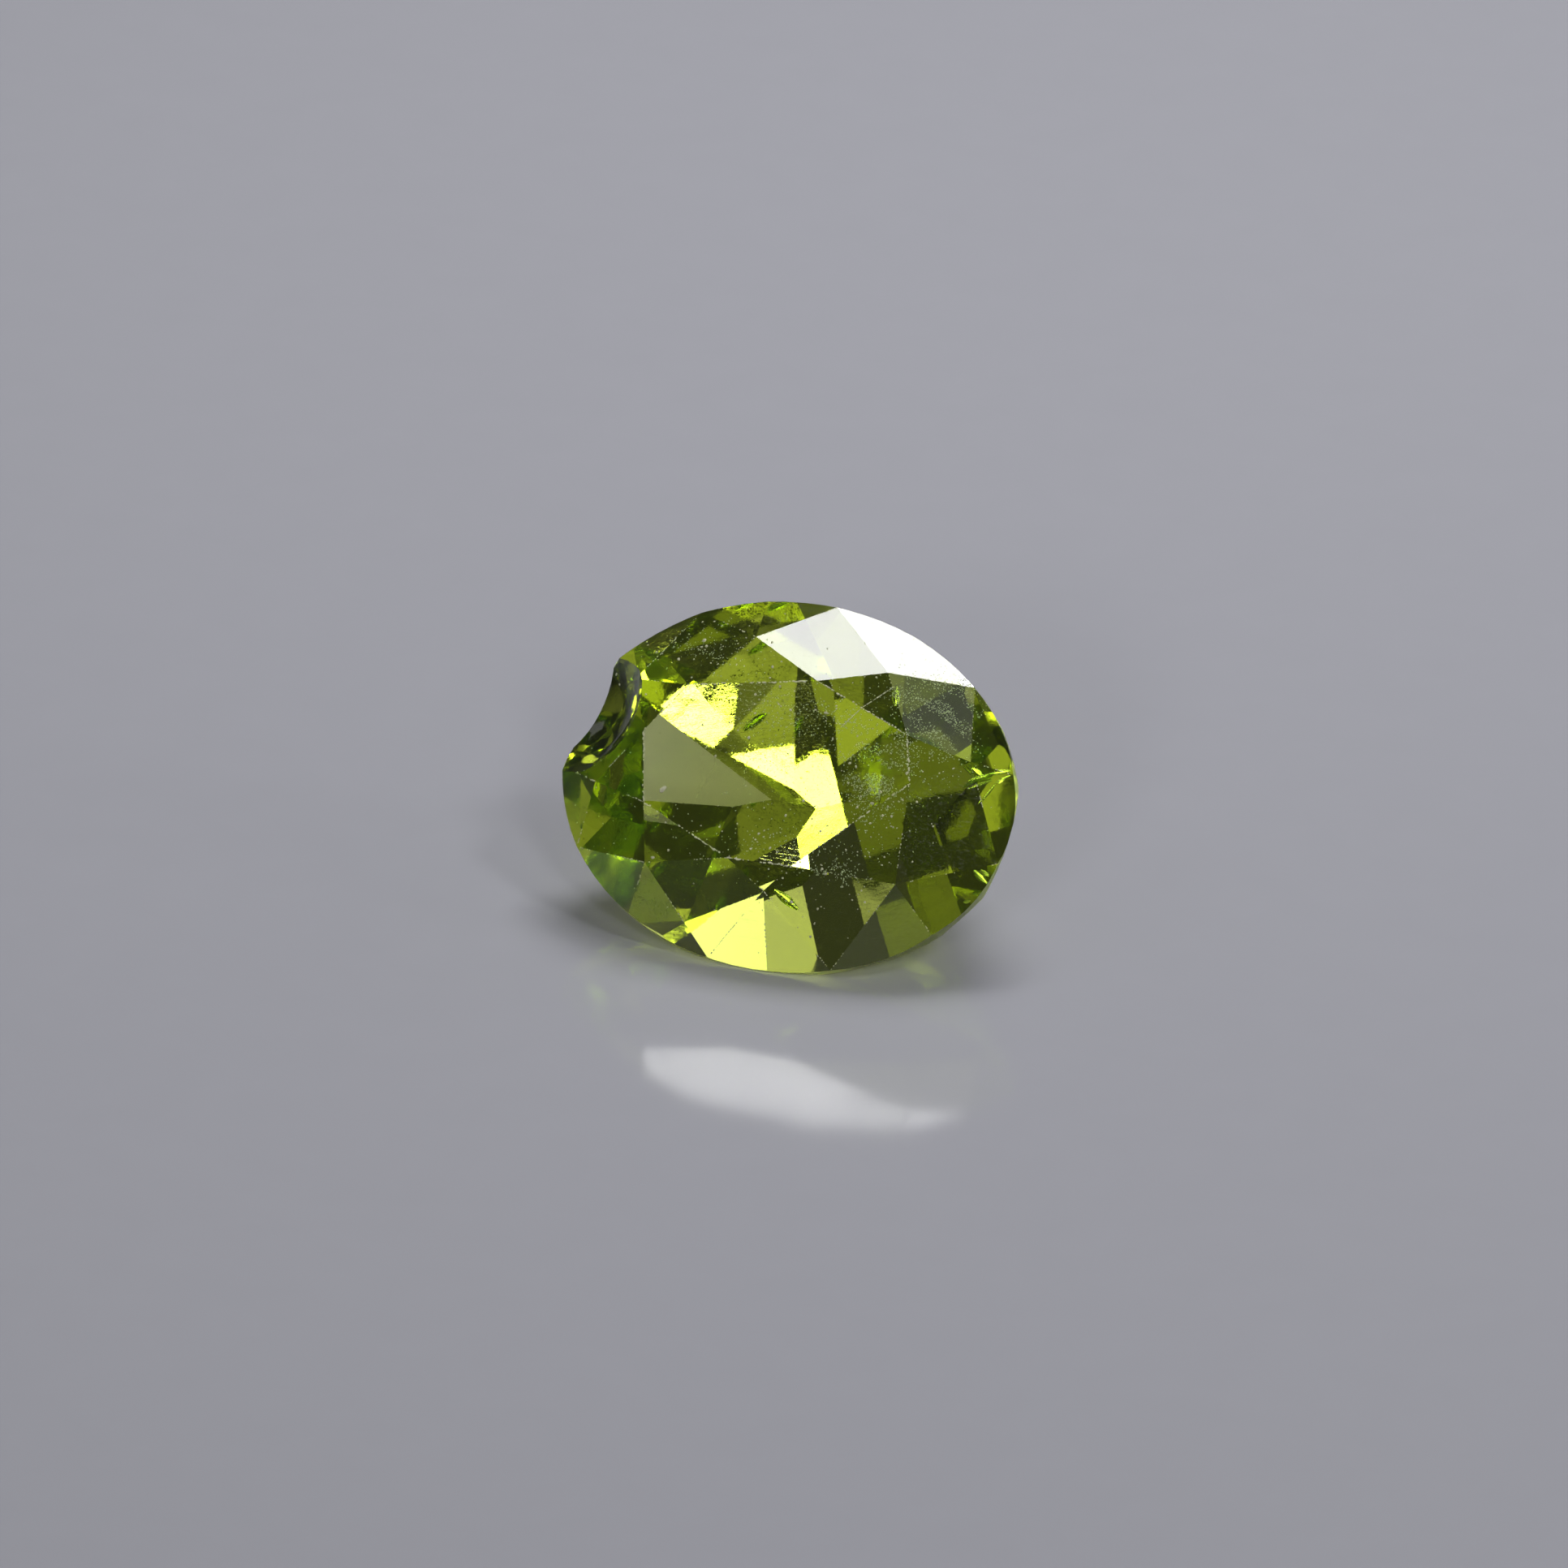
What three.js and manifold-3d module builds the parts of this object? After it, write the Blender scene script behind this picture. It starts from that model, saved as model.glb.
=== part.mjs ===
// A loose oval garnet, faceted and of one piece, at rest on one of its pavilion facets.
// Millimetres, +Z up. The cut is laid out in the stone's own frame, with the table up and
// z = 0 in the girdle's upper plane, and the finished stone is then tipped onto its facet.
import * as THREE from "three";
import { mergeVertices } from "three/addons/utils/BufferGeometryUtils.js";
import Module from "manifold-3d";

// Driving dimensions of the stone
const LENGTH = 8.6;
const WIDTH = 6.9;
const CROWN_HEIGHT = 0.92;
const GIRDLE_THICKNESS = 0.26;
const BLANK_DEPTH = 4.6;
const GIRDLE_SEGMENTS = 72;

// Crown, read round the stone anticlockwise from its long axis.
// The table's corners in millimetres, each followed by where its kite facet touches the
// girdle and where the two girdle facets beyond that meet, in degrees round the oval.
const TABLE_CORNERS = [
  { at: [2.18, 1.24], touch: 48.5, middle: 70 },
  { at: [0.25, 1.83], touch: 91.5, middle: 109 },
  { at: [-2.09, 1.21], touch: 126.5, middle: 153.5 },
  { at: [-2.64, 0.19], touch: 180.5, middle: 189.5 },
  { at: [-2.23, -1.1], touch: 215.5, middle: 239.5 },
  { at: [-0.4, -1.74], touch: 263.5, middle: 279 },
  { at: [0.81, -1.62], touch: 295, middle: 323.5 },
  { at: [2.5, 0.37], touch: 352, middle: 380 },
];
// Slope of the star facet that leaves each table corner for the next one, in degrees
const STAR_ANGLES = [18.5, 20.5, 17.5, 22, 18, 20.5, 11, 18.5];

// Pavilion facets: azimuth and slope in degrees, and how far each cuts inside the girdle's
// lower edge, in millimetres, which is less than zero where it passes outside that edge.
// The first one is the facet that the stone rests on, and the others follow it anticlockwise.
const PAVILION = [
  { azimuth: -85.5, slope: 48, cut: 0.15 },
  { azimuth: -64.25, slope: 44.75, cut: 0.07 },
  { azimuth: -46, slope: 55.75, cut: -0.01 },
  { azimuth: -0.75, slope: 50.5, cut: 0.12 },
  { azimuth: 86.25, slope: 49.75, cut: 0.1 },
  { azimuth: 118.25, slope: 45.75, cut: 0.15 },
  { azimuth: 162.75, slope: 52.75, cut: 0.11 },
  { azimuth: 180.5, slope: 39.75, cut: -0.15 },
  { azimuth: 206.5, slope: 50.75, cut: 0.08 },
  { azimuth: 232.25, slope: 45, cut: 0.02 },
  { azimuth: 246.25, slope: 40.75, cut: -0.24 },
];

// Break facets evenly round the girdle: their slope in degrees, and how far below the
// girdle's upper plane each one starts, in millimetres.
const BREAKS = { count: 20, slope: 60, start: 0.24 };

// The chip at the left end: a round hollow broken out of the crown and girdle
const CHIP = { at: [-4.85, 0.6, 1.45], radius: 2.05 };

// Garnet's olive to yellow-green body colour, seen as a clear polished stone
const stoneMaterial = new THREE.MeshStandardMaterial({
  color: 0x6b7a1e,
  roughness: 0.05,
  metalness: 0,
  transparent: true,
  opacity: 0.6,
});

const wasm = await Module();
wasm.setup();

const radians = THREE.MathUtils.degToRad;

// A point on the girdle's outline in the plane z, at an angle in degrees round the oval.
function outline(degrees, z) {
  const t = radians(degrees);
  return new THREE.Vector3((LENGTH / 2) * Math.cos(t), (WIDTH / 2) * Math.sin(t), z);
}

// The direction in which the outline runs at an angle round the oval.
function outlineDirection(degrees) {
  const t = radians(degrees);
  return new THREE.Vector3(-LENGTH * Math.sin(t), WIDTH * Math.cos(t), 0).normalize();
}

// How far the outline in the plane z reaches along a direction.
function outlineReach(normal, z) {
  return Math.hypot((LENGTH / 2) * normal.x, (WIDTH / 2) * normal.y) + normal.z * z;
}

// The facet plane through three points, facing away from the middle of the girdle.
// A point of the plane satisfies normal . point = distance.
function planeThrough(a, b, c) {
  const normal = new THREE.Vector3().subVectors(b, a).cross(new THREE.Vector3().subVectors(c, a));
  normal.normalize();
  const distance = normal.dot(a);
  return distance < 0 ? { normal: normal.negate(), distance: -distance } : { normal, distance };
}

// The point that three planes share.
function planesMeet(p, q, r) {
  const m = new THREE.Matrix3().set(
    ...p.normal.toArray(),
    ...q.normal.toArray(),
    ...r.normal.toArray(),
  );
  return new THREE.Vector3(p.distance, q.distance, r.distance).applyMatrix3(m.invert());
}

// The table, kites, stars and upper girdle facets, as planes.
function crownPlanes() {
  const count = TABLE_CORNERS.length;
  const corners = TABLE_CORNERS.map(({ at }) => new THREE.Vector3(...at, CROWN_HEIGHT));
  const touches = TABLE_CORNERS.map(({ touch }) => outline(touch, 0));
  const kites = TABLE_CORNERS.map(({ touch }, i) =>
    planeThrough(corners[i], touches[i], touches[i].clone().add(outlineDirection(touch))),
  );
  const planes = [{ normal: new THREE.Vector3(0, 0, 1), distance: CROWN_HEIGHT }, ...kites];
  for (let i = 0; i < count; i++) {
    const next = (i + 1) % count;
    const along = new THREE.Vector3().subVectors(corners[next], corners[i]).normalize();
    const outward = new THREE.Vector3(along.y, -along.x, 0);
    const slope = radians(STAR_ANGLES[i]);
    const normal = outward.multiplyScalar(Math.sin(slope)).setZ(Math.cos(slope));
    const star = { normal, distance: normal.dot(corners[i]) };
    const tip = planesMeet(kites[i], kites[next], star);
    const middle = outline(TABLE_CORNERS[i].middle, 0);
    planes.push(star);
    planes.push(planeThrough(tip, touches[i], middle));
    planes.push(planeThrough(tip, touches[next], middle));
  }
  return planes;
}

// The facets below the girdle, as planes.
function pavilionPlanes() {
  return PAVILION.map(({ azimuth, slope, cut }) => {
    const a = radians(azimuth);
    const s = radians(slope);
    const normal = new THREE.Vector3(Math.cos(a) * Math.sin(s), Math.sin(a) * Math.sin(s), -Math.cos(s));
    return { normal, distance: outlineReach(normal, -GIRDLE_THICKNESS) - cut };
  });
}

// The short facets between the girdle and the pavilion, as planes.
function breakPlanes() {
  const slope = radians(BREAKS.slope);
  const planes = [];
  for (let i = 0; i < BREAKS.count; i++) {
    const turn = (360 * (i + 0.5)) / BREAKS.count;
    const along = outlineDirection(turn);
    const outward = new THREE.Vector3(along.y, -along.x, 0);
    const normal = outward.multiplyScalar(Math.sin(slope)).setZ(-Math.cos(slope));
    planes.push({ normal, distance: normal.dot(outline(turn, -BREAKS.start)) });
  }
  return planes;
}

// A closed three.js geometry as a solid that can be cut.
function solidOf(geometry) {
  geometry.deleteAttribute("normal");
  geometry.deleteAttribute("uv");
  const merged = mergeVertices(geometry);
  return new wasm.Manifold(
    new wasm.Mesh({
      numProp: 3,
      vertProperties: merged.attributes.position.array,
      triVerts: new Uint32Array(merged.index.array),
    }),
  );
}

// The rough oval that the facets are cut on.
function blank() {
  const shape = new THREE.Shape();
  for (let i = 0; i < GIRDLE_SEGMENTS; i++) {
    const p = outline((360 * i) / GIRDLE_SEGMENTS, 0);
    if (i === 0) shape.moveTo(p.x, p.y);
    else shape.lineTo(p.x, p.y);
  }
  shape.closePath();
  const depth = CROWN_HEIGHT + BLANK_DEPTH;
  const geometry = new THREE.ExtrudeGeometry(shape, { depth, bevelEnabled: false });
  geometry.translate(0, 0, -BLANK_DEPTH);
  return solidOf(geometry);
}

// What the chip takes away.
function chipHollow() {
  const geometry = new THREE.SphereGeometry(CHIP.radius, 48, 32);
  geometry.translate(...CHIP.at);
  return solidOf(geometry);
}

// The whole stone in its own frame, as a geometry.
function stoneGeometry() {
  let solid = blank();
  for (const { normal, distance } of [...crownPlanes(), ...pavilionPlanes(), ...breakPlanes()]) {
    solid = solid.trimByPlane(normal.clone().negate().toArray(), -distance);
  }
  solid = solid.subtract(chipHollow());
  const { vertProperties, triVerts } = solid.getMesh();
  const geometry = new THREE.BufferGeometry();
  geometry.setAttribute("position", new THREE.BufferAttribute(vertProperties, 3));
  geometry.setIndex(new THREE.BufferAttribute(triVerts, 1));
  const flat = geometry.toNonIndexed();
  flat.computeVertexNormals();
  return flat;
}

const stone = new THREE.Mesh(stoneGeometry(), stoneMaterial);
stone.name = "garnet";
stone.rotation.z = radians(-90 - PAVILION[0].azimuth);

const part = new THREE.Group();
part.add(stone);
part.rotation.x = radians(PAVILION[0].slope);
part.updateMatrixWorld(true);
const box = new THREE.Box3().setFromObject(part, true);
const middle = box.getCenter(new THREE.Vector3());
part.position.set(-middle.x, -middle.y, -box.min.z);

export default part;
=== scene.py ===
"""A loose faceted oval garnet, dressed for the studio.

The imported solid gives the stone's facets and size. This file gives it polish, a frosted
girdle, small cracks, worn facet edges, dust and a dusty film, and a plain studio to lie in.
"""
import math
import random

import bmesh
import bpy
from bpy.props import FloatProperty, FloatVectorProperty, IntProperty, PointerProperty
from mathutils import Matrix, Vector
from mathutils.bvhtree import BVHTree
from mathutils.noise import noise as smooth_noise


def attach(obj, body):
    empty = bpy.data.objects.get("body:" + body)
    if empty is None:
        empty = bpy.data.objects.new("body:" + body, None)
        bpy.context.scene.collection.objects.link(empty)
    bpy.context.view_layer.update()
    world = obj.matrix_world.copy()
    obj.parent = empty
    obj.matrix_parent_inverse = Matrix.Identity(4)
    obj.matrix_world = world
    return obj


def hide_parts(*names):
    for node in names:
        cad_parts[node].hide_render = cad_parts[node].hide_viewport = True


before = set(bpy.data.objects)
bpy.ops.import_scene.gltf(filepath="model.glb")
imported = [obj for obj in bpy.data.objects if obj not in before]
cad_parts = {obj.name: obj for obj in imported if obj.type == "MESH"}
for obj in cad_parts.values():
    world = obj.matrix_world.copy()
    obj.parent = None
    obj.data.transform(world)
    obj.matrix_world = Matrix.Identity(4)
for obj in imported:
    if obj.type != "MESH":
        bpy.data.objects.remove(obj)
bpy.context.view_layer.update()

bl_info = {
    "name": "Faceted garnet",
    "version": (1, 0, 0),
    "blender": (4, 5, 0),
    "location": "3D View > Sidebar > Garnet",
    "description": "Dresses a loose faceted garnet and sets up a plain studio",
    "category": "Add Mesh",
}

MM = 0.001

# How the stone lies: the middle of its girdle, and how the cut is turned and tipped
GIRDLE_MIDDLE = Vector((-0.0015, -0.3403, 2.5922)) * MM
TILT = math.radians(48)
TURN = math.radians(-4.5)
CUT_FRAME = (
    Matrix.Translation(GIRDLE_MIDDLE)
    @ Matrix.Rotation(TILT, 4, "X")
    @ Matrix.Rotation(TURN, 4, "Z")
)

# The photograph's view: its angles, its scale and where the girdle's middle falls in it
VIEW_AZIMUTH = math.radians(19)
VIEW_ELEVATION = math.radians(27)
PHOTO_SIDE = 1932  # pixels
PIXELS_PER_MM = 68.0
MIDDLE_PIXEL = (970.4, 969.0)
BACK = Vector(
    (
        math.sin(VIEW_AZIMUTH) * math.cos(VIEW_ELEVATION),
        -math.cos(VIEW_AZIMUTH) * math.cos(VIEW_ELEVATION),
        math.sin(VIEW_ELEVATION),
    )
)
RIGHT = Vector((math.cos(VIEW_AZIMUTH), math.sin(VIEW_AZIMUTH), 0.0))
UP = BACK.cross(RIGHT)
# How far towards the camera from the stone a line of sight starts, in metres
SIGHT_START = 0.02

# The chip: the round hollow's middle and radius, and where the blow fell that broke it out
CHIP_MIDDLE = CUT_FRAME @ (Vector((-4.85, 0.6, 1.45)) * MM)
CHIP_RADIUS = 2.05 * MM
CHIP_BLOW = CUT_FRAME @ (Vector((-4.3, 0.9, 0.1)) * MM)

# How near the hollow a chip's face lies, and how near upright a face of the girdle stands
CHIP_NEAR = 0.02 * MM
GIRDLE_UPRIGHT = 0.02
# How near two corners are welded, and how flat the faces of one facet are to each other
WELD = 0.0004 * MM
SAME_FACET = math.radians(0.4)

# How far a sliver of the cracks gapes, the rows and columns of its mesh, and the seed of its bow
SLIVER_GAP = 0.008 * MM
SLIVER_ROWS = 8
SLIVER_COLUMNS = 4
CRACK_SEED = 5
# The cracks' slivers: the pixels of the photograph that each runs between, how deep the two
# ends lie in mm, its width in pixels, and how far it leans away from the view in degrees
SLIVERS = (
    ((1245, 950), (1217, 954), 0.10, 0.15, 4.2, 32),
    ((1218, 954), (1192, 962), 0.15, 0.22, 4.4, 0),
    ((1211, 957), (1186, 970), 0.20, 0.26, 5.0, 28),
    ((1222, 961), (1192, 972), 0.18, 0.28, 4.4, 0),
    ((1245, 954), (1225, 965), 0.10, 0.18, 3.6, 4),
    ((1186, 944), (1199, 955), 0.26, 0.19, 4.0, 0),
    ((1198, 946), (1211, 956), 0.22, 0.15, 4.4, -36),
    ((1247, 940), (1243, 951), 0.10, 0.10, 3.2, 48),
    ((1226, 966), (1204, 991), 0.18, 0.28, 3.0, 0),
    ((1240, 958), (1228, 966), 0.12, 0.16, 2.6, -4),
    ((1199, 1072), (1215, 1088), 0.14, 0.07, 10.0, -4),
    ((1207, 1072), (1217, 1079), 0.14, 0.10, 6.0, -4),
    ((1197, 1100), (1209, 1098), 0.10, 0.10, 5.0, 52),
    ((1186, 1111), (1195, 1109), 0.12, 0.12, 4.6, 40),
    ((1105, 845), (1103, 870), 0.15, 0.28, 10.0, -8),
    ((954, 1096), (983, 1120), 0.06, 0.08, 12.0, -4),
)

# Least upward part of the normal of a facet that holds dust or film
HOLDS_DUST = 0.1
# The long scratch across the table's upper right corner, by the photograph's pixels, and how
# many grains lie along each of its two stretches
LONG_SCRATCH = ((1035, 897), (1062, 872), (1102, 846))
SCRATCH_GRAINS = 22
# Where dust lies thickest in the photograph: middle, reach and share of the specks, in pixels
DUST_CLOUDS = (
    ((1075, 955), (36, 48), 0.26),
    ((960, 1045), (80, 22), 0.18),
    ((930, 880), (50, 40), 0.12),
    ((860, 790), (55, 30), 0.14),
    ((1000, 1110), (45, 30), 0.1),
    ((980, 960), (230, 180), 0.2),
)
# Width of the finest speck and of the widest scattered one, in pixels
SPECK_WIDTHS = (1.3, 4.2)
# Single specks that stand out, with their width in pixels
SPECKS = (
    (817, 973, 8), (923, 909, 5), (931, 856, 4), (961, 846, 4), (1098, 1006, 4), (952, 822, 4),
    (974, 875, 4), (868, 789, 5), (836, 812, 4), (935, 1027, 4), (1117, 953, 4), (1129, 988, 4),
)
# How far a flake of the film lies above its facet, and how much of a smudge's reach is one
# standard deviation of its flakes
FLAKE_LIFT = 0.0004 * MM
SMUDGE_SPREAD = 0.6
# Smudges of dusty film, by the photograph's pixels: middle, reach across and down, how many
# flakes, and the streaks in them: the way they run in degrees and how far apart they lie
SMUDGES = (
    ((1082, 950), (42, 60), 2600, 12, 17),
    ((1160, 878), (46, 52), 2400, 38, 15),
    ((1120, 850), (40, 16), 250, 20, 12),
    ((1010, 880), (60, 26), 450, 60, 30),
    ((980, 1045), (90, 24), 500, 10, 25),
    ((930, 880), (60, 50), 350, 40, 30),
    ((860, 795), (60, 28), 500, 50, 20),
    ((1030, 1078), (34, 16), 220, 50, 18),
    ((975, 930), (250, 130), 600, 30, 60),
)

# Lamps: name, azimuth and elevation of the middle in degrees, distance, width and height in
# metres, and brightness
LAMPS = (
    ("back_softbox", 180.5, 58, 0.11, 0.046, 0.033, 12),
    ("back_softbox_dim", 212, 62, 0.11, 0.018, 0.023, 8.8),
    ("back_low_left", 175.6, 42.8, 0.30, 0.016, 0.046, 1.55),
    ("back_low_middle", 180.3, 40, 0.30, 0.0325, 0.0684, 1.55),
    ("back_low_right", 190.6, 39.5, 0.30, 0.051, 0.066, 0.55),
    ("back_right_high", 137, 66, 0.30, 0.048, 0.072, 0.45),
    ("back_far_right", 154, 15, 0.30, 0.066, 0.054, 0.25),
    ("back_right_low", 129, 14, 0.30, 0.096, 0.144, 0.8),
    ("right_low", 95, 18, 0.30, 0.036, 0.138, 3),
    ("right_high", 75.5, 50.5, 0.30, 0.051, 0.047, 15),
    ("right_top", 80, 66, 0.30, 0.084, 0.072, 0.5),
    ("right_fill", 58, 36, 0.30, 0.078, 0.060, 0.2),
    ("right_above", 48, 52, 0.30, 0.060, 0.078, 0.15),
    ("front_low", 29, 4, 0.30, 0.096, 0.036, 2.5),
    ("front_right", 34.5, 32.5, 0.30, 0.042, 0.060, 18),
    ("front_mid", 0, 24, 0.30, 0.060, 0.042, 15),
    ("front_above", 15, 35.5, 0.30, 0.072, 0.048, 0.25),
    ("front_left", -27, 22, 0.30, 0.054, 0.048, 0.3),
    ("front_high", 18, 50, 0.30, 0.180, 0.072, 0.32),
    ("left_high", -56, 44, 0.30, 0.132, 0.090, 0.5),
    ("left_low", -62, 15, 0.30, 0.150, 0.072, 0.15),
    ("left_side", -101, 28, 0.30, 0.054, 0.060, 0.6),
)
# The sky's own light, so that no facet is quite black
SKY_COLOUR = (0.9, 0.95, 1.0, 1.0)
SKY_STRENGTH = 0.04
# The floor's half width, and how far it lies below the stone so that the two don't touch
FLOOR_REACH = 0.8
FLOOR_GAP = 0.01 * MM
# The camera's sensor, in its own millimetres
SENSOR = 36.0


def photo_point(u, v):
    """The point at a pixel of the photograph, in the plane across the view through the girdle."""
    across = (u - MIDDLE_PIXEL[0]) / PIXELS_PER_MM * MM
    above = (MIDDLE_PIXEL[1] - v) / PIXELS_PER_MM * MM
    return GIRDLE_MIDDLE + across * RIGHT + above * UP


def seen_at(surface, u, v):
    """Where the line of sight at a pixel of the photograph meets a surface, and its normal."""
    hit, normal, _, _ = surface.ray_cast(photo_point(u, v) + SIGHT_START * BACK, -BACK)
    return hit, normal


def seen_inside(surface, u, v, depth, refraction):
    """The point inside the stone that shows at a pixel, at a depth along the bent line of sight."""
    hit, normal = seen_at(surface, u, v)
    facing = BACK.dot(normal)
    bent = math.sqrt(1 - (1 - facing * facing) / refraction**2)
    inward = (facing * normal - BACK) / refraction - bent * normal
    return hit + inward * depth


# ---------------------------------------------------------------- settings


class GarnetStone(bpy.types.PropertyGroup):
    """Sizes and colours of the stone itself."""

    refraction: FloatProperty(
        name="Refraction", description="Refractive index of garnet", default=1.74, min=1.3, max=2.0
    )
    depth_of_colour: FloatProperty(
        name="Depth of colour",
        description="How strongly a millimetre of stone takes up blue light",
        default=0.334,
        min=0.0,
        max=2.0,
    )
    passes: FloatVectorProperty(
        name="Colour let through",
        description="Colour that passes the stone: 0 is taken up in full, 1 not at all",
        subtype="COLOR",
        size=3,
        min=0.0,
        max=1.0,
        default=(0.84, 0.901, 0.0),
    )
    haze: FloatProperty(
        name="Surface haze",
        description="Soft shine of the handled surface over the polish",
        default=0.02,
        min=0.0,
        max=1.0,
    )
    girdle_frost: FloatProperty(
        name="Girdle frost",
        description="Roughness of the unpolished girdle",
        default=0.3,
        min=0.0,
        max=1.0,
    )
    chip_frost: FloatProperty(
        name="Chip frost",
        description="Roughness of the broken hollow",
        default=0.06,
        min=0.0,
        max=1.0,
    )
    # painted shade: a darker colour for the broken hollow, so that it looks as dark as a shaded
    # hollow
    chip_painted_shade: FloatVectorProperty(
        name="Chip painted shade",
        description="Painted shade: share of light let through the darkened broken hollow",
        subtype="COLOR",
        size=3,
        min=0.0,
        max=1.0,
        default=(0.12, 0.13, 0.05),
    )
    crack_colour: FloatVectorProperty(
        name="Crack colour",
        description="Colour of the light that the cracks throw back",
        subtype="COLOR",
        size=3,
        min=0.0,
        max=1.0,
        default=(0.55, 0.75, 0.06),
    )


class GarnetWear(bpy.types.PropertyGroup):
    """Worn edges and dust."""

    grain: FloatProperty(
        name="Worn grain",
        description="Width of one bruised grain on a facet edge",
        default=0.03 * MM,
        unit="LENGTH",
        precision=6,
    )
    edge_gap: FloatProperty(
        name="Gap between grains",
        description="Usual distance between bruised grains along a facet edge",
        default=0.05 * MM,
        unit="LENGTH",
        precision=6,
    )
    specks: IntProperty(
        name="Dust specks", description="Number of loose dust specks", default=330, min=0
    )
    seed: IntProperty(name="Seed", description="Start of the random scatter", default=11)
    colour: FloatVectorProperty(
        name="Grain colour",
        description="Colour of bruised edges and dust",
        subtype="COLOR",
        size=3,
        min=0.0,
        max=1.0,
        default=(0.62, 0.62, 0.42),
    )


class GarnetFilm(bpy.types.PropertyGroup):
    """The dusty film of handling."""

    flake: FloatProperty(
        name="Flake size",
        description="Usual width of one flake of the film",
        default=0.026 * MM,
        unit="LENGTH",
        precision=6,
    )
    amount: FloatProperty(
        name="Amount",
        description="Share of the listed flakes that are laid",
        default=1.0,
        min=0.0,
        max=1.0,
    )
    seed: IntProperty(name="Seed", description="Start of the random scatter", default=23)
    colour: FloatVectorProperty(
        name="Film colour",
        description="Colour of the dusty film",
        subtype="COLOR",
        size=3,
        min=0.0,
        max=1.0,
        default=(0.5, 0.6, 0.32),
    )


class GarnetStage(bpy.types.PropertyGroup):
    """The studio."""

    floor: FloatVectorProperty(
        name="Floor colour",
        description="Colour of the pale floor",
        subtype="COLOR",
        size=3,
        min=0.0,
        max=1.0,
        default=(0.46, 0.46, 0.51),
    )
    camera_distance: FloatProperty(
        name="Camera distance",
        description="From the camera to the stone",
        default=0.40,
        unit="LENGTH",
    )


# ---------------------------------------------------------------- materials


# The scale of a noise is in cells per metre, and the distance of a bump is in metres.


def node_maker(material):
    """Empties a material's tree and returns it, with a short way to add nodes to it.

    Each value goes to the node's socket of that name, or else to its property of that name.
    """
    material.use_nodes = True
    tree = material.node_tree
    tree.nodes.clear()

    def add(kind, **values):
        node = tree.nodes.new(kind)
        for key, value in values.items():
            if key in node.inputs:
                node.inputs[key].default_value = value
            else:
                setattr(node, key, value)
        return node

    return tree, add


def ramp(tree, add, value, low, high, low_value, high_value):
    """A Map Range node that takes a value from one range to another."""
    node = add("ShaderNodeMapRange")
    node.inputs["From Min"].default_value = low
    node.inputs["From Max"].default_value = high
    node.inputs["To Min"].default_value = low_value
    node.inputs["To Max"].default_value = high_value
    tree.links.new(value, node.inputs["Value"])
    return node


def noise_over(tree, add, vector, scale, detail):
    """A noise laid over a vector."""
    node = add("ShaderNodeTexNoise", Scale=scale, Detail=detail)
    tree.links.new(vector, node.inputs["Vector"])
    return node


def bump_over(tree, add, height, distance, strength=1.0, below=None):
    """A bump of a height, on top of the one below it."""
    node = add("ShaderNodeBump", Strength=strength, Distance=distance)
    tree.links.new(height, node.inputs["Height"])
    if below is not None:
        tree.links.new(below.outputs["Normal"], node.inputs["Normal"])
    return node


def times_plus(tree, add, value, by, plus):
    """A value times a number, plus another value."""
    node = add("ShaderNodeMath", operation="MULTIPLY_ADD")
    node.inputs[1].default_value = by
    tree.links.new(value, node.inputs[0])
    tree.links.new(plus, node.inputs[2])
    return node


def mix_of(tree, add, factor, first, second):
    """A mix of two colours."""
    node = add("ShaderNodeMix", data_type="RGBA")
    node.inputs["A"].default_value = (*first, 1.0)
    node.inputs["B"].default_value = (*second, 1.0)
    tree.links.new(factor, node.inputs["Factor"])
    return node


def darker(colour, share):
    """A colour with only a share of its brightness."""
    return tuple(c * share for c in colour)


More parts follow.
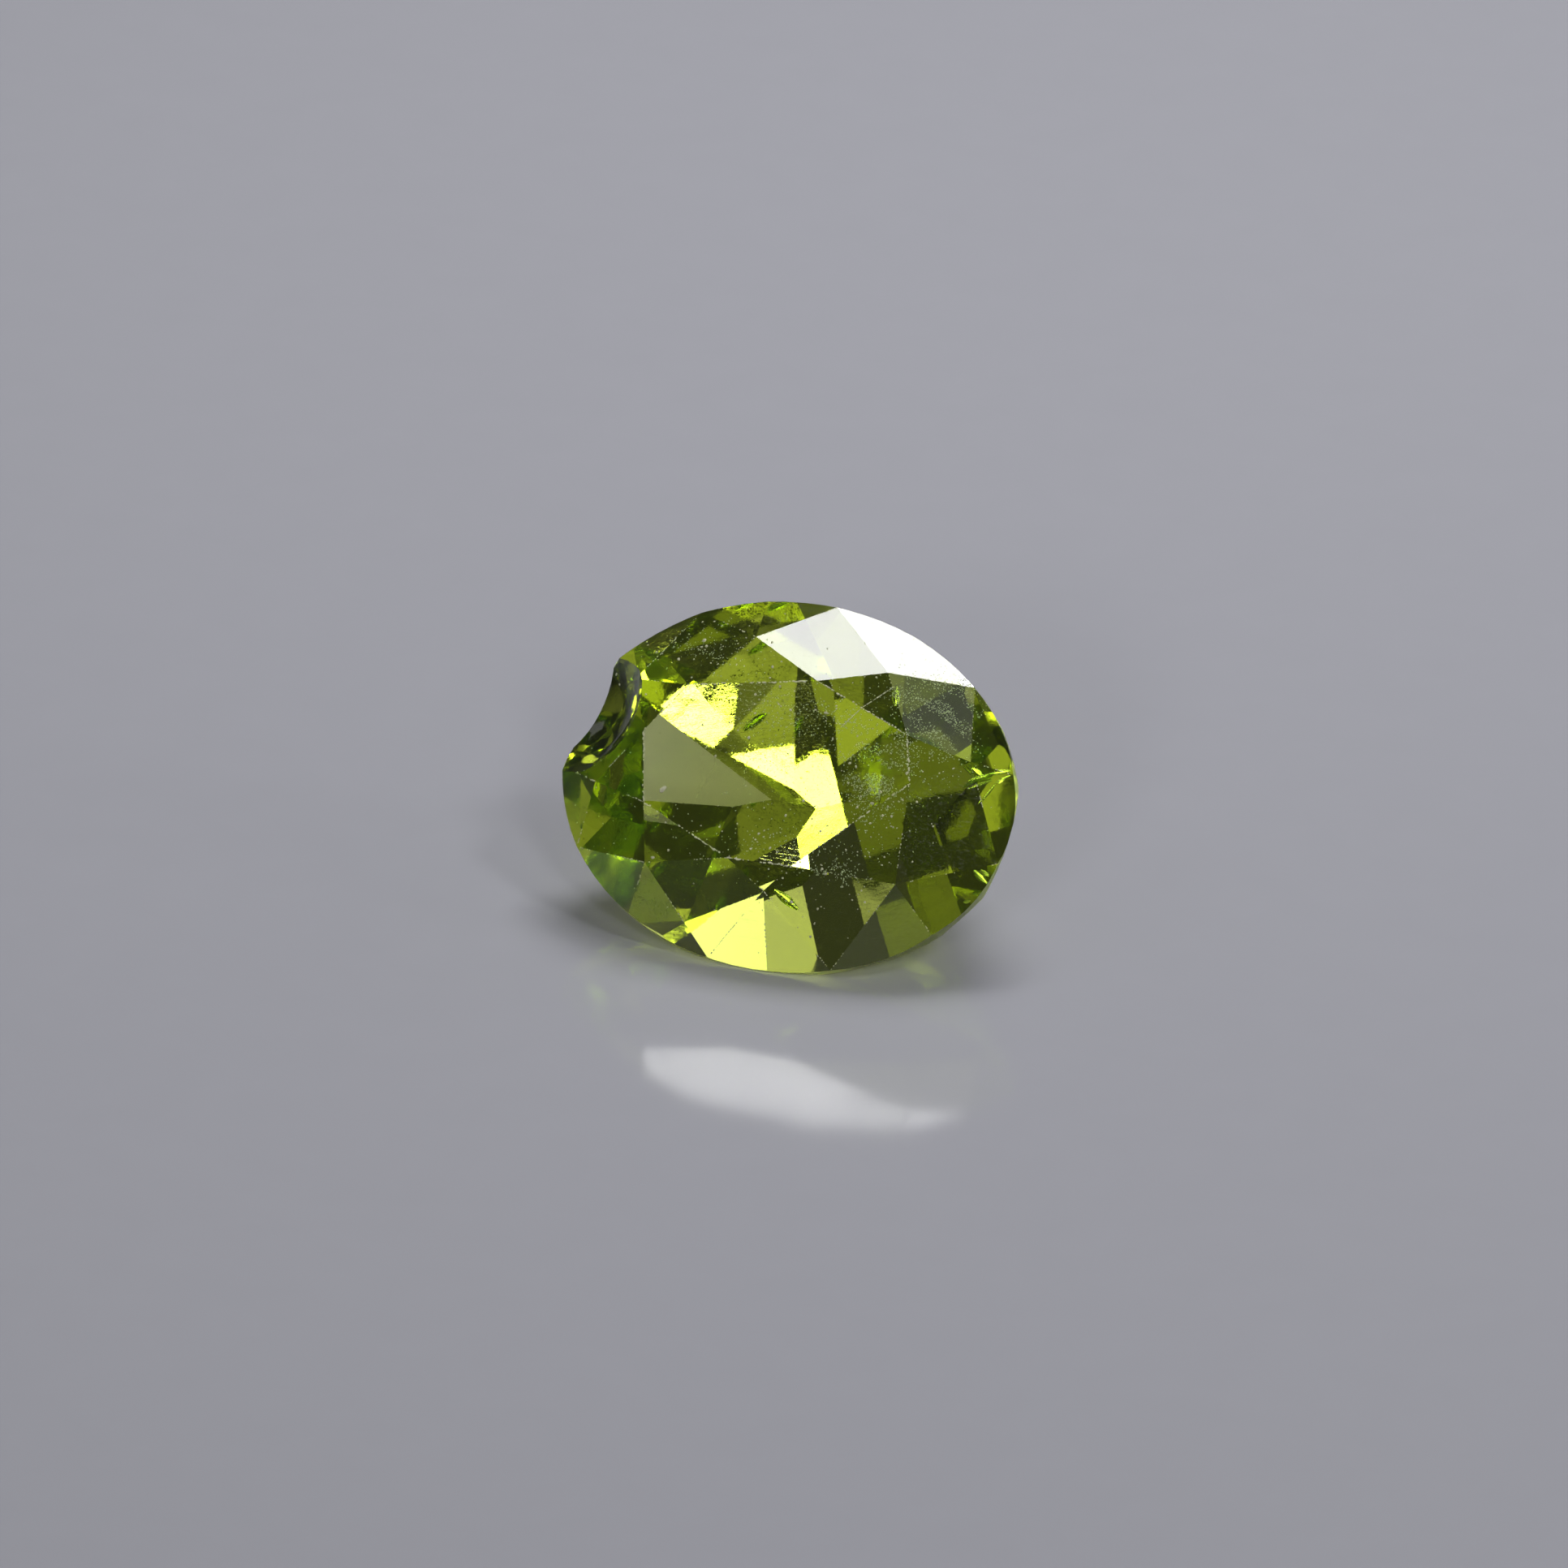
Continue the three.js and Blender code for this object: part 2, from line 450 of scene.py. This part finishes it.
def crystal_material(stone):
    """Clear garnet, olive inside: polished facets, dull where the attributes say so, and the broken
    hollow darkened with painted shade.
    """
    material = bpy.data.materials.new("crystal")
    tree, add = node_maker(material)
    link = tree.links.new
    place = add("ShaderNodeTexCoord").outputs["Object"]
    frost = add("ShaderNodeAttribute", attribute_name="frost").outputs["Fac"]
    shell = add("ShaderNodeAttribute", attribute_name="shell").outputs["Fac"]

    # fine scratches from polishing, in two directions
    def scratches(turn, scale):
        mapping = add("ShaderNodeMapping")
        mapping.inputs["Rotation"].default_value = (0.6, 0.3, turn)
        mapping.inputs["Scale"].default_value = scale
        link(place, mapping.inputs["Vector"])
        noise = noise_over(tree, add, mapping.outputs["Vector"], 1.0, 3.0)
        return ramp(tree, add, noise.outputs["Fac"], 0.58, 0.7, 0.0, 1.0)

    first = scratches(0.5, (900, 22000, 22000))
    second = scratches(-0.9, (24000, 1200, 24000))
    both = add("ShaderNodeMath", operation="ADD")
    link(first.outputs["Result"], both.inputs[0])
    link(second.outputs["Result"], both.inputs[1])
    lines = both.outputs["Value"]

    # rings of the broken hollow, round the place where the blow fell
    rings = add("ShaderNodeTexWave", wave_type="RINGS", rings_direction="SPHERICAL")
    rings.inputs["Scale"].default_value = 1500
    rings.inputs["Distortion"].default_value = 2.5
    rings.inputs["Detail"].default_value = 1.0
    from_blow = add("ShaderNodeVectorMath", operation="SUBTRACT")
    from_blow.inputs[1].default_value = CHIP_BLOW
    link(place, from_blow.inputs[0])
    link(from_blow.outputs["Vector"], rings.inputs["Vector"])

    # facets that the lap left slightly rounded, slow waviness of a hand-held polish, the
    # scratches, the hollow's rings, and the grain of the unpolished girdle
    swell = noise_over(tree, add, place, 260, 0.0)
    rounded = bump_over(tree, add, swell.outputs["Fac"], 0.016 * MM)
    wave = noise_over(tree, add, place, 1100, 1.5)
    wavy = bump_over(tree, add, wave.outputs["Fac"], 0.0022 * MM, below=rounded)
    scratched = bump_over(tree, add, lines, 0.00025 * MM, 0.35, below=wavy)
    scratched.invert = True
    ringed = bump_over(tree, add, rings.outputs["Fac"], 0.002 * MM, below=scratched)
    link(shell, ringed.inputs["Strength"])
    grain = noise_over(tree, add, place, 16000, 4.0)
    frosted = bump_over(tree, add, grain.outputs["Fac"], 0.006 * MM, below=ringed)
    link(frost, frosted.inputs["Strength"])

    # the polish is bright, and the scratches, the girdle and the hollow are dull
    dull_lines = add("ShaderNodeMath", operation="MULTIPLY")
    dull_lines.inputs[1].default_value = 0.05
    link(lines, dull_lines.inputs[0])
    dull_girdle = times_plus(tree, add, frost, stone.girdle_frost, dull_lines.outputs["Value"])
    dull_chip = times_plus(tree, add, shell, stone.chip_frost, dull_girdle.outputs["Value"])

    # a breath of haze, thicker in cloudy patches and along the scratches
    cloud = noise_over(tree, add, place, 1900, 5.0)
    cloud.inputs["Roughness"].default_value = 0.7
    patches = ramp(tree, add, cloud.outputs["Fac"], 0.38, 0.66, 0.25 * stone.haze, stone.haze)
    lined = times_plus(tree, add, lines, 0.25, patches.outputs["Result"])

    # a trace of unevenness in the stone's own tint, and painted shade on the broken hollow: its
    # colour darkened so it lets less light through
    tint_noise = noise_over(tree, add, place, 500, 2.0)
    tint = mix_of(tree, add, tint_noise.outputs["Fac"], (1.0, 1.0, 1.0), (0.93, 0.96, 0.86))
    # painted shade: the broken hollow's faces take the darker chip colour
    painted_chip_shade = mix_of(tree, add, shell, (1.0, 1.0, 1.0), stone.chip_painted_shade)
    link(tint.outputs["Result"], painted_chip_shade.inputs["A"])

    body = add("ShaderNodeBsdfPrincipled")
    body.inputs["IOR"].default_value = stone.refraction
    body.inputs["Transmission Weight"].default_value = 1.0
    body.inputs["Coat Roughness"].default_value = 0.35
    body.inputs["Coat IOR"].default_value = 1.5
    link(lined.outputs["Value"], body.inputs["Coat Weight"])
    link(painted_chip_shade.outputs["Result"], body.inputs["Base Color"])
    link(dull_chip.outputs["Value"], body.inputs["Roughness"])
    link(frosted.outputs["Normal"], body.inputs["Normal"])
    inside = add("ShaderNodeVolumeAbsorption")
    inside.inputs["Color"].default_value = (*stone.passes, 1.0)
    inside.inputs["Density"].default_value = stone.depth_of_colour / MM
    out = add("ShaderNodeOutputMaterial")
    link(body.outputs["BSDF"], out.inputs["Surface"])
    link(inside.outputs["Volume"], out.inputs["Volume"])
    return material


def grain_material(name, colour, spread, roughness):
    """Pale mineral powder, each grain a little different."""
    material = bpy.data.materials.new(name)
    tree, add = node_maker(material)
    link = tree.links.new
    place = add("ShaderNodeTexCoord").outputs["Object"]
    noise = noise_over(tree, add, place, 9000, 2.0).outputs["Fac"]
    shade = ramp(tree, add, noise, 0.35, 0.65, 0.0, 1.0)
    mix = mix_of(tree, add, shade.outputs["Result"], darker(colour, spread), colour)
    rough = ramp(tree, add, noise, 0.0, 1.0, roughness - 0.15, roughness + 0.1)
    body = add("ShaderNodeBsdfPrincipled", IOR=1.6)
    link(mix.outputs["Result"], body.inputs["Base Color"])
    link(rough.outputs["Result"], body.inputs["Roughness"])
    out = add("ShaderNodeOutputMaterial")
    link(body.outputs["BSDF"], out.inputs["Surface"])
    return material


def crack_material(colour):
    """The air gap of a crack, which throws the light back like a mirror, uneven all over."""
    material = bpy.data.materials.new("crack_faces")
    tree, add = node_maker(material)
    link = tree.links.new
    place = add("ShaderNodeTexCoord").outputs["Object"]
    noise = noise_over(tree, add, place, 12000, 2.0).outputs["Fac"]
    mix = mix_of(tree, add, noise, darker(colour, 0.8), colour)
    uneven = bump_over(tree, add, noise, 0.004 * MM, 0.6)
    body = add("ShaderNodeBsdfPrincipled", Metallic=1.0, Roughness=0.22)
    link(mix.outputs["Result"], body.inputs["Base Color"])
    link(uneven.outputs["Normal"], body.inputs["Normal"])
    out = add("ShaderNodeOutputMaterial")
    link(body.outputs["BSDF"], out.inputs["Surface"])
    return material


def floor_material(colour):
    """Plain pale board with a faint grain and a soft shine."""
    material = bpy.data.materials.new("pale_floor")
    tree, add = node_maker(material)
    link = tree.links.new
    place = add("ShaderNodeTexCoord").outputs["Object"]
    noise = noise_over(tree, add, place, 900, 3.0).outputs["Fac"]
    mix = mix_of(tree, add, noise, darker(colour, 0.97), colour)
    body = add("ShaderNodeBsdfPrincipled", Roughness=0.1)
    body.inputs["Specular IOR Level"].default_value = 0.8
    link(mix.outputs["Result"], body.inputs["Base Color"])
    out = add("ShaderNodeOutputMaterial")
    link(body.outputs["BSDF"], out.inputs["Surface"])
    return material


# ---------------------------------------------------------------- shapes


def object_of(mesh_tree, name, material):
    """Turns a bmesh into an object in the scene."""
    mesh = bpy.data.meshes.new(name)
    mesh_tree.to_mesh(mesh)
    mesh_tree.free()
    mesh.materials.append(material)
    piece = bpy.data.objects.new(name, mesh)
    bpy.context.scene.collection.objects.link(piece)
    return piece


def stone_faces():
    """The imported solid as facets: flat ones whole, the chip's many small ones kept."""
    bm = bmesh.new()
    bm.from_mesh(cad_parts["garnet"].data)
    bmesh.ops.remove_doubles(bm, verts=bm.verts, dist=WELD)
    bmesh.ops.dissolve_limit(bm, angle_limit=SAME_FACET, verts=bm.verts, edges=bm.edges)
    return bm


def in_cut(direction):
    """A direction of the row's frame in the cut's own frame."""
    return CUT_FRAME.to_3x3().transposed() @ direction


def is_chip(face):
    """Whether a face belongs to the broken hollow."""
    away = (face.calc_center_median() - CHIP_MIDDLE).length
    return abs(away - CHIP_RADIUS) < CHIP_NEAR


def is_girdle(face):
    """Whether a face belongs to the unpolished band."""
    return abs(in_cut(face.normal).z) < GIRDLE_UPRIGHT and not is_chip(face)


def add_sliver(bm, start, end, facing, width, bow):
    """A thin gap in the crystal: a narrow blade between two points, bowed across its width."""
    along = end - start
    across = along.cross(facing).normalized()
    lift = across.cross(along).normalized()
    rows, columns = SLIVER_ROWS, SLIVER_COLUMNS
    top, bottom = [], []
    for i in range(rows + 1):
        s = i / rows
        half = width / 2 * max(0.3, math.sin(math.pi * s) ** 0.6)
        for j in range(columns + 1):
            t = 2 * j / columns - 1
            middle = start + along * s + across * half * t + lift * bow * half * t * t
            if i in (0, rows) or j in (0, columns):
                top.append(bm.verts.new(middle))
                bottom.append(top[-1])
            else:
                open_by = 0.5 * SLIVER_GAP * (1 - t * t) * math.sin(math.pi * s)
                top.append(bm.verts.new(middle + lift * open_by))
                bottom.append(bm.verts.new(middle - lift * open_by))
    for i in range(rows):
        for j in range(columns):
            k = i * (columns + 1) + j
            a, b, c, d = (k, k + 1, k + columns + 2, k + columns + 1)
            bm.faces.new((top[a], top[b], top[c], top[d]))
            if any(bottom[q] is not top[q] for q in (a, b, c, d)):
                bm.faces.new((bottom[a], bottom[d], bottom[c], bottom[b]))


def grain_shape(bm, at, normal, along, size, stretch, rng):
    """One bruised grain or dust speck: a small uneven lump lying on the surface."""
    normal = normal.normalized()
    along = along - along.dot(normal) * normal
    along = along.normalized() if along.length > 1e-9 else normal.orthogonal().normalized()
    across = normal.cross(along)
    made = bmesh.ops.create_icosphere(bm, subdivisions=1, radius=1.0)
    for vert in made["verts"]:
        p = vert.co * rng.uniform(0.7, 1.15)
        vert.co = (
            at
            + along * (p.x * size * stretch / 2)
            + across * (p.y * size / 2)
            + normal * (p.z * size * 0.3)
        )


def flake_shape(bm, at, normal, size, rng):
    """One flake of dusty film: a low three-sided roof lying on the surface."""
    side = normal.orthogonal().normalized()
    across = normal.cross(side)
    turn = rng.uniform(0, math.tau)
    rim = []
    for i in range(3):
        a = turn + math.tau * (i + rng.uniform(-0.25, 0.25)) / 3
        rim.append(bm.verts.new(at + (side * math.cos(a) + across * math.sin(a)) * size / 2))
    top = bm.verts.new(at + normal * size * 0.2)
    for i in range(3):
        bm.faces.new((rim[i], rim[(i + 1) % 3], top))
    bm.faces.new((rim[2], rim[1], rim[0]))


# ---------------------------------------------------------------- operators


class GARNET_OT_stone(bpy.types.Operator):
    """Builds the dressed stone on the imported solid."""

    bl_idname = "garnet.stone"
    bl_label = "Stone"

    def execute(self, context):
        stone = context.scene.garnet_stone
        bm = stone_faces()
        frost = bm.faces.layers.float.new("frost")
        shell = bm.faces.layers.float.new("shell")
        for face in bm.faces:
            face.smooth = is_chip(face)
            face[shell] = 1.0 if is_chip(face) else 0.0
            face[frost] = 1.0 if is_girdle(face) else 0.0
        for edge in bm.edges:
            if len({f.smooth for f in edge.link_faces}) > 1:
                edge.smooth = False
        piece = object_of(bm, "stone", crystal_material(stone))
        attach(piece, "root")
        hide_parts("garnet")
        return {"FINISHED"}


class GARNET_OT_cracks(bpy.types.Operator):
    """Opens the small cracks inside the stone."""

    bl_idname = "garnet.cracks"
    bl_label = "Cracks"

    def execute(self, context):
        stone = context.scene.garnet_stone
        rng = random.Random(CRACK_SEED)
        faces = stone_faces()
        surface = BVHTree.FromBMesh(faces)
        faces.free()
        bm = bmesh.new()
        for first, last, first_depth, last_depth, width, lean in SLIVERS:
            start = seen_inside(surface, *first, first_depth * MM, stone.refraction)
            end = seen_inside(surface, *last, last_depth * MM, stone.refraction)
            along = (end - start).normalized()
            square = (BACK - BACK.dot(along) * along).normalized()
            facing = Matrix.Rotation(math.radians(lean), 3, along) @ square
            full = width / PIXELS_PER_MM * MM / math.cos(math.radians(lean))
            add_sliver(bm, start, end, facing, full, rng.uniform(0.1, 0.3))
        piece = object_of(bm, "cracks", crack_material(stone.crack_colour))
        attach(piece, "root")
        return {"FINISHED"}


class GARNET_OT_edge_wear(bpy.types.Operator):
    """Bruises the crown's facet edges with fine pale grains, and lays the long scratch."""

    bl_idname = "garnet.edge_wear"
    bl_label = "Edge wear"

    def execute(self, context):
        wear = context.scene.garnet_wear
        rng = random.Random(wear.seed)
        faces = stone_faces()
        bm = bmesh.new()
        table = max(faces.faces, key=lambda f: in_cut(f.normal).z * f.calc_area())
        for edge in faces.edges:
            beside = edge.link_faces
            if len(beside) != 2 or any(is_chip(f) or is_girdle(f) for f in beside):
                continue
            if min(in_cut(f.normal).z for f in beside) < 0.5:  # below the girdle
                continue
            heavy = table in beside
            a, b = (v.co for v in edge.verts)
            way = b - a
            normal = sum((f.normal for f in beside), Vector())
            at = rng.uniform(0, 1) * wear.edge_gap
            patch = rng.uniform(0, math.tau)
            while at < way.length:
                worn = 0.5 + 0.5 * math.sin(at / MM * 4.1 + patch) + (0.35 if heavy else -0.25)
                if rng.random() < worn:
                    size = wear.grain * rng.uniform(0.4, 1.3) * (1.15 if heavy else 0.75)
                    side = rng.uniform(-0.3, 0.3) * size * way.cross(normal).normalized()
                    place = a + way * (at / way.length) + side
                    grain_shape(bm, place, normal, way, size, rng.uniform(1, 2.6), rng)
                at += wear.edge_gap * rng.uniform(0.5, 1.6)
        under = BVHTree.FromBMesh(faces)
        for (u0, v0), (u1, v1) in zip(LONG_SCRATCH, LONG_SCRATCH[1:]):
            for i in range(SCRATCH_GRAINS):
                s = (i + rng.random()) / SCRATCH_GRAINS
                hit, normal = seen_at(under, u0 + s * (u1 - u0), v0 + s * (v1 - v0))
                if hit:
                    way = (u1 - u0) * RIGHT - (v1 - v0) * UP
                    grain_shape(bm, hit, normal, way, wear.grain * rng.uniform(0.35, 0.9), 2.2, rng)
        faces.free()
        piece = object_of(bm, "edge_wear", grain_material("bruised_edge", wear.colour, 0.75, 0.6))
        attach(piece, "root")
        return {"FINISHED"}


class GARNET_OT_dust(bpy.types.Operator):
    """Scatters fine dust over the crown."""

    bl_idname = "garnet.dust"
    bl_label = "Dust"

    def execute(self, context):
        wear = context.scene.garnet_wear
        rng = random.Random(wear.seed + 1)
        faces = stone_faces()
        under = BVHTree.FromBMesh(faces)
        bm = bmesh.new()

        def drop(u, v, width):
            hit, normal = seen_at(under, u, v)
            if hit and normal.z > HOLDS_DUST:
                turn = Vector((rng.uniform(-1, 1), rng.uniform(-1, 1), rng.uniform(-1, 1)))
                size = width / PIXELS_PER_MM * MM
                place = hit + 0.1 * size * normal
                grain_shape(bm, place, normal, turn, size, rng.uniform(0.8, 1.7), rng)

        finest, widest = SPECK_WIDTHS
        for (middle_u, middle_v), (reach_u, reach_v), share in DUST_CLOUDS:
            for _ in range(int(wear.specks * share)):
                u, v = rng.gauss(middle_u, reach_u), rng.gauss(middle_v, reach_v)
                drop(u, v, min(widest, finest + rng.expovariate(1.3)))
        for u, v, width in SPECKS:
            drop(u, v, width)
        faces.free()
        piece = object_of(bm, "dust", grain_material("dust_grain", wear.colour, 0.6, 0.8))
        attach(piece, "root")
        return {"FINISHED"}


class GARNET_OT_film(bpy.types.Operator):
    """Lays the streaky film of dust that handling leaves on the facets."""

    bl_idname = "garnet.film"
    bl_label = "Dusty film"

    def execute(self, context):
        film = context.scene.garnet_film
        rng = random.Random(film.seed)
        faces = stone_faces()
        under = BVHTree.FromBMesh(faces)
        faces.free()
        bm = bmesh.new()
        for (middle_u, middle_v), (reach_u, reach_v), count, way, spacing in SMUDGES:
            a = math.radians(way)
            for _ in range(int(count * film.amount)):
                u = rng.gauss(middle_u, reach_u * SMUDGE_SPREAD)
                v = rng.gauss(middle_v, reach_v * SMUDGE_SPREAD)
                along = (u * math.cos(a) + v * math.sin(a)) / (3 * spacing)
                across = (v * math.cos(a) - u * math.sin(a)) / spacing
                if smooth_noise(Vector((along, across, middle_u))) < rng.uniform(-0.25, 0.3):
                    continue
                hit, normal = seen_at(under, u, v)
                if hit and normal.z > HOLDS_DUST:
                    size = film.flake * rng.uniform(0.5, 1.5)
                    flake_shape(bm, hit + FLAKE_LIFT * normal, normal, size, rng)
        piece = object_of(bm, "film", grain_material("dusty_film", film.colour, 0.6, 0.7))
        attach(piece, "root")
        return {"FINISHED"}


def lamp_place(azimuth, elevation, distance):
    """The point at an azimuth and elevation round the stone, and the direction out to it."""
    a, e = math.radians(azimuth), math.radians(elevation)
    way = Vector((math.sin(a) * math.cos(e), -math.cos(a) * math.cos(e), math.sin(e)))
    return GIRDLE_MIDDLE + way * distance, way


class GARNET_OT_stage(bpy.types.Operator):
    """Sets up the floor, the soft lamps and the camera."""

    bl_idname = "garnet.stage"
    bl_label = "Studio"

    def execute(self, context):
        stage = context.scene.garnet_stage
        scene = context.scene
        bm = bmesh.new()
        bmesh.ops.create_grid(bm, x_segments=8, y_segments=8, size=FLOOR_REACH)
        floor = object_of(bm, "floor", floor_material(stage.floor))
        floor.location.z = -FLOOR_GAP
        for name, azimuth, elevation, distance, width, height, brightness in LAMPS:
            lamp = bpy.data.lights.new(name, "AREA")
            lamp.shape = "RECTANGLE"
            lamp.size, lamp.size_y = width, height
            lamp.energy = brightness * math.pi * width * height
            place, way = lamp_place(azimuth, elevation, distance)
            holder = bpy.data.objects.new(name, lamp)
            holder.location = place
            holder.rotation_mode = "QUATERNION"
            holder.rotation_quaternion = way.to_track_quat("Z", "Y")
            holder.visible_camera = False
            scene.collection.objects.link(holder)
        world = bpy.data.worlds.new("studio")
        world.use_nodes = True
        air = world.node_tree.nodes["Background"]
        air.inputs["Color"].default_value = SKY_COLOUR
        air.inputs["Strength"].default_value = SKY_STRENGTH
        scene.world = world
        camera = bpy.data.cameras.new("camera")
        camera.sensor_width = SENSOR
        camera.lens = SENSOR * stage.camera_distance / (PHOTO_SIDE / PIXELS_PER_MM * MM)
        camera.clip_start, camera.clip_end = 0.01, 5.0
        eye = bpy.data.objects.new("camera", camera)
        aim = photo_point(PHOTO_SIDE / 2, PHOTO_SIDE / 2)
        eye.location = aim + BACK * stage.camera_distance
        eye.rotation_mode = "QUATERNION"
        eye.rotation_quaternion = BACK.to_track_quat("Z", "Y")
        scene.collection.objects.link(eye)
        scene.camera = eye
        scene.view_settings.view_transform = "Standard"
        # light turns many times inside a cut stone before it leaves
        scene.cycles.max_bounces = 24
        scene.cycles.glossy_bounces = 20
        scene.cycles.transmission_bounces = 20
        return {"FINISHED"}


class GARNET_PT_panel(bpy.types.Panel):
    """Lists the stone's parts and the studio."""

    bl_idname = "GARNET_PT_panel"
    bl_label = "Garnet"
    bl_space_type = "VIEW_3D"
    bl_region_type = "UI"
    bl_category = "Garnet"

    def draw(self, context):
        scene = context.scene
        for group, names in (
            (scene.garnet_stone, ("refraction", "depth_of_colour", "passes", "haze")),
            (scene.garnet_stone, ("girdle_frost", "chip_frost", "chip_painted_shade", "crack_colour")),
            (scene.garnet_wear, ("grain", "edge_gap", "specks", "seed", "colour")),
            (scene.garnet_film, ("flake", "amount", "seed", "colour")),
            (scene.garnet_stage, ("floor", "camera_distance")),
        ):
            box = self.layout.box()
            for name in names:
                box.prop(group, name)
        for operator in OPERATORS:
            self.layout.operator(operator.bl_idname)


OPERATORS = (
    GARNET_OT_stone,
    GARNET_OT_cracks,
    GARNET_OT_edge_wear,
    GARNET_OT_dust,
    GARNET_OT_film,
    GARNET_OT_stage,
)
CLASSES = (GarnetStone, GarnetWear, GarnetFilm, GarnetStage, *OPERATORS, GARNET_PT_panel)


def register():
    """Registers the classes and hangs the settings on the scene."""
    for kind in CLASSES:
        bpy.utils.register_class(kind)
    bpy.types.Scene.garnet_stone = PointerProperty(type=GarnetStone)
    bpy.types.Scene.garnet_wear = PointerProperty(type=GarnetWear)
    bpy.types.Scene.garnet_film = PointerProperty(type=GarnetFilm)
    bpy.types.Scene.garnet_stage = PointerProperty(type=GarnetStage)


def unregister():
    """Takes the settings and classes away again."""
    del bpy.types.Scene.garnet_stone
    del bpy.types.Scene.garnet_wear
    del bpy.types.Scene.garnet_film
    del bpy.types.Scene.garnet_stage
    for kind in reversed(CLASSES):
        bpy.utils.unregister_class(kind)


def main():
    """Builds everything in order."""
    register()
    bpy.ops.garnet.stone()
    bpy.ops.garnet.cracks()
    bpy.ops.garnet.edge_wear()
    bpy.ops.garnet.dust()
    bpy.ops.garnet.film()
    bpy.ops.garnet.stage()


if __name__ == "__main__":
    main()
